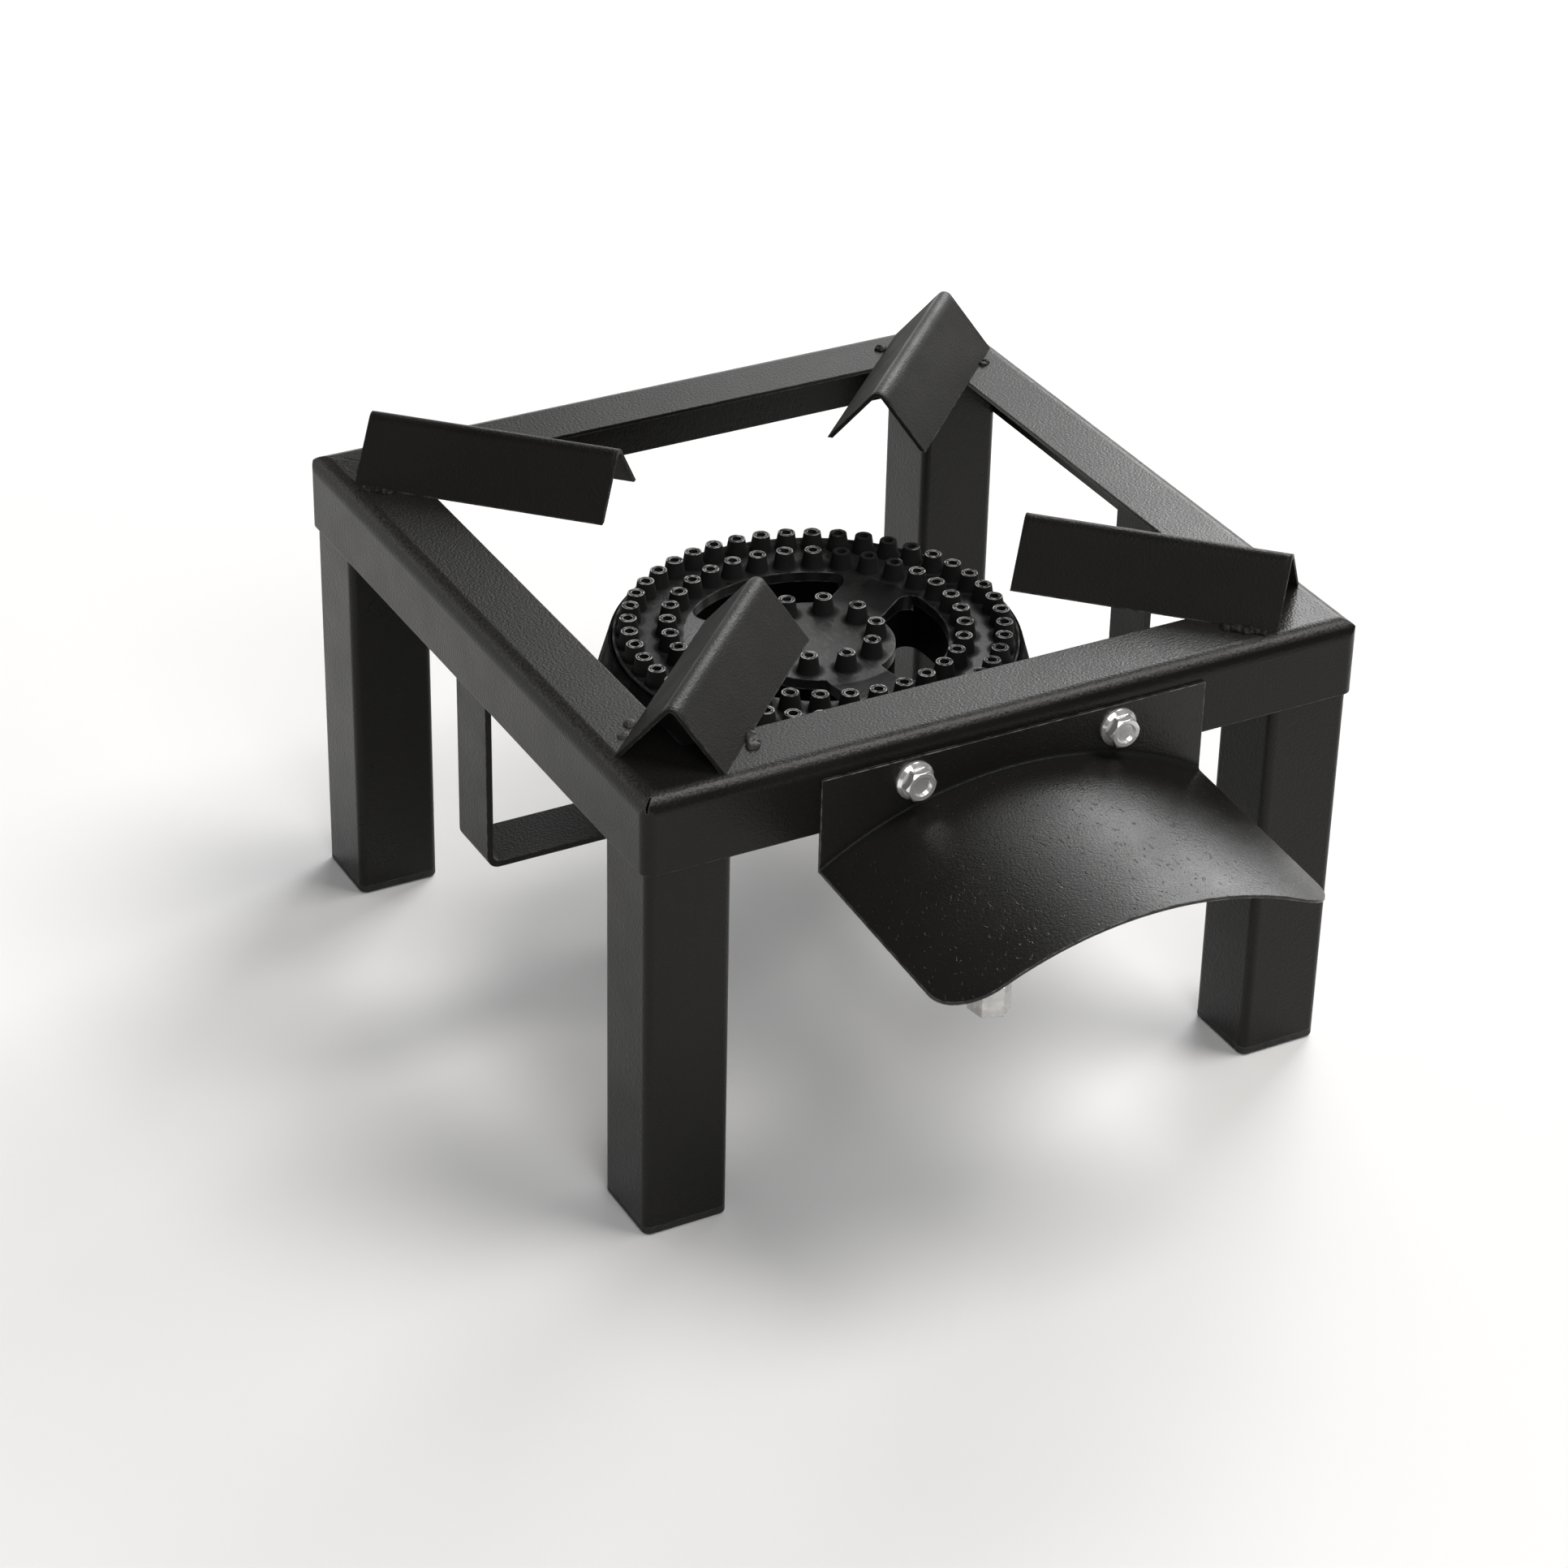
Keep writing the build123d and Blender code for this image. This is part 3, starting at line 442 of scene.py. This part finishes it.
paint(coat, "top_frame", "mixing_tube")
paint(strap_coat, "burner_strap")
paint(shield_coat, "heat_shield")
for corner in CORNERS:
    paint(coat, f"{corner}_leg")
    paint(support_coat, f"{corner}_pot_support")
    paint(cap_plastic, f"{corner}_foot_cap")
paint(iron_top, "burner_head")
paint(iron, "burner_body")
paint(zinc, "shield_bolts", "shield_nuts", "burner_bolts", "burner_nuts", "head_screws")
paint(brass, "tap_carrier", "injector", "tap_body", "tap_plug", "gland_nut")
paint(sheet_steel, "air_shutter", "plug_spring")
paint(nickel, "gas_inlet")
paint(knob_plastic, "tap_knob")


def add_lump(shape, place, half):
    """Add one unevenly stretched lump of a bead."""
    stretch = noise.noise_vector(place * WELD_DRAW)
    wide, long, tall = (half * (1 + WELD_UNEVEN * turn) for turn in stretch)
    lump = Matrix.Translation(place) @ Matrix.Diagonal((wide, long, tall * WELD_RISE, 1.0))
    bmesh.ops.create_icosphere(shape, subdivisions=3, radius=1.0, matrix=lump)


def add_bead(shape, axis, start, end, width):
    """Add a row of lumps from one point to another, along and across a corner's diagonal."""
    start, end = Vector(start), Vector(end)
    count = max(WELD_LUMPS, round((end - start).length / (width * WELD_STEP)) + 1)
    for index in range(count):
        along, side = start.lerp(end, index / (count - 1)) / MM_PER_M
        flat = axis * along + Vector((-axis.y, axis.x)) * side
        add_lump(shape, MIDDLE + Vector((flat.x, flat.y, TOP_Z)), width / 2 / MM_PER_M)


def fuse(piece):
    """Join the lumps of a piece into one skin."""
    remesh = piece.modifiers.new("fuse", "REMESH")
    remesh.mode = "VOXEL"
    remesh.voxel_size = WELD_VOXEL
    bpy.context.view_layer.update()
    whole = piece.evaluated_get(bpy.context.evaluated_depsgraph_get())
    piece.data = bpy.data.meshes.new_from_object(whole)
    piece.modifiers.clear()


def roughen(mesh):
    """Make a weld's skin ragged, and flat where it reaches into the frame."""
    normals = [vertex.normal.copy() for vertex in mesh.vertices]
    for vertex, normal in zip(mesh.vertices, normals):
        vertex.co += normal * WELD_RUGGED * noise.fractal(vertex.co * WELD_GRAIN, 1.0, 2.0, 3)
        vertex.co.z = max(vertex.co.z, TOP_Z - WELD_SINK)
    for face in mesh.polygons:
        face.use_smooth = True


def make_welds(corner, beads):
    """Lumpy weld beads on the frame's top, along the feet of one pot support."""
    low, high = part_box(f"{corner}_leg")
    axis = ((low + high) / 2 - MIDDLE).xy.normalized()
    shape = bmesh.new()
    for start, end, width in beads:
        add_bead(shape, axis, start, end, width)
    mesh = bpy.data.meshes.new(f"{corner}_welds")
    shape.to_mesh(mesh)
    shape.free()
    piece = bpy.data.objects.new(f"{corner}_welds", mesh)
    bpy.context.scene.collection.objects.link(piece)
    fuse(piece)
    roughen(piece.data)
    piece.data.materials.append(weld_painted_lit if corner == PAINTED_LIT_WELDS else weld_coat)
    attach(piece, "stand")


# The vector noise takes its offsets from this seed, and from the clock without one
noise.seed_set(WELD_SEED)
for corner, beads in WELDS.items():
    make_welds(corner, beads)


def make_floor():
    """Plain pale floor, wide enough to fill the view."""
    g = Graph("floor")
    g.set(Base_Color=g.mix(g.noise(3.0, 2.0), grey(FLOOR_TONE * 0.99), grey(FLOOR_TONE)))
    g.set(Roughness=FLOOR_ROUGH, Specular_IOR_Level=0.0)
    bpy.ops.mesh.primitive_plane_add(size=FLOOR_SIZE, location=(0.0, 0.0, -FLOOR_DROP))
    floor = bpy.context.object
    floor.name = "floor"
    floor.data.materials.append(g.material)


def make_world():
    world = bpy.data.worlds.new("studio")
    bpy.context.scene.world = world
    world.use_nodes = True
    back = world.node_tree.nodes["Background"]
    back.inputs["Color"].default_value = grey(1.0)
    back.inputs["Strength"].default_value = WORLD_LIGHT


def hang_light(name, data, ahead):
    """Put a light in the scene, shining along a direction."""
    light = bpy.data.objects.new(name, data)
    bpy.context.scene.collection.objects.link(light)
    light.rotation_mode = "QUATERNION"
    light.rotation_quaternion = ahead.to_track_quat("-Z", "Y")
    return light


def make_sun(name):
    """Broad even light from one side of the sky."""
    data = bpy.data.lights.new(name, "SUN")
    data.angle = math.radians(SUN_SPREAD)
    data.energy = SUN_STRENGTH
    data.color = WARM_WHITE
    hang_light(name, data, -SUN_TOWARDS)


def make_lamp(name, place, aim, size, power):
    """Soft rectangular lamp that the camera doesn't see."""
    data = bpy.data.lights.new(name, "AREA")
    data.shape = "RECTANGLE"
    data.size, data.size_y = size
    data.energy = power
    lamp = hang_light(name, data, Vector(aim) - Vector(place))
    lamp.location = MIDDLE + Vector(place)
    lamp.visible_camera = False


def make_camera():
    """Camera at the photograph's angle."""
    data = bpy.data.cameras.new("camera")
    data.lens = CAMERA_LENS
    data.sensor_width = CAMERA_SENSOR
    camera = bpy.data.objects.new("camera", data)
    bpy.context.scene.collection.objects.link(camera)
    top_middle = MIDDLE + Vector((0.0, 0.0, TOP_Z))
    ahead = (CAMERA_AIM - CAMERA_PLACE).normalized()
    level = ahead.cross(Vector((0.0, 0.0, 1.0))).normalized()
    right = level * math.cos(CAMERA_ROLL) + ahead.cross(level) * math.sin(CAMERA_ROLL)
    up = right.cross(ahead)
    turn = Matrix((right, up, -ahead)).transposed()
    camera.matrix_world = Matrix.Translation(top_middle + CAMERA_PLACE) @ turn.to_4x4()
    bpy.context.scene.camera = camera


make_floor()
make_world()
make_sun("top_light")
for name, settings in LAMPS.items():
    make_lamp(name, *settings)
make_camera()
bpy.context.scene.view_settings.view_transform = "Standard"
